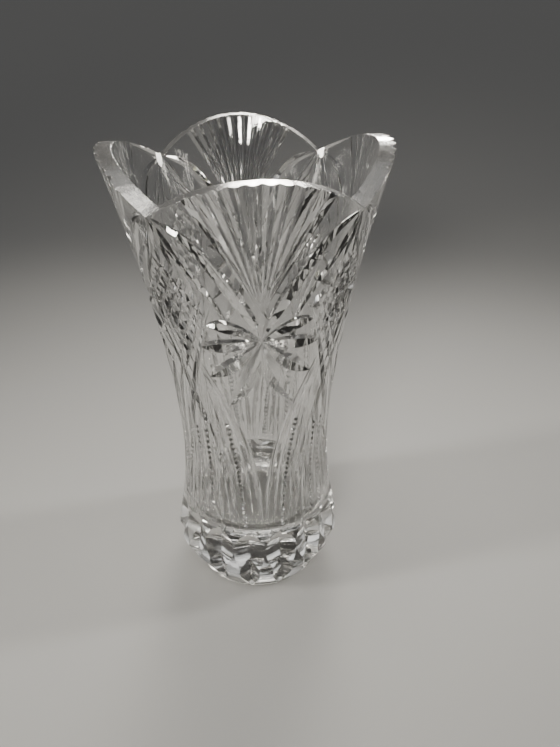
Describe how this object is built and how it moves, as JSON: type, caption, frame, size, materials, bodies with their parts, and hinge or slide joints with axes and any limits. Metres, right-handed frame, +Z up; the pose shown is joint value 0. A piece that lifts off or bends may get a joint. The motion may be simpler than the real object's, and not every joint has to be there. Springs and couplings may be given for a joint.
{
  "type": "cut crystal vase",
  "caption": "Tall flared vase of thick clear cut glass with a lobed scalloped rim, fan and star cuts, arches of vertical flutes and a lugged foot.",
  "frame": {"origin": "centre of the flat base, on the surface the vase stands on", "axes": "+Z up along the vase's axis; -Y towards the front lobe, so the four lobes face -Y, +X, +Y and -X and the notches lie between them"},
  "size_m": [0.1528, 0.1528, 0.305],
  "materials": {
    "clear_crystal": "polished cut crystal, ground rim"
  },
  "bodies": {
    "root": {"crystal_body": "clear_crystal"}
  },
  "joints": []
}
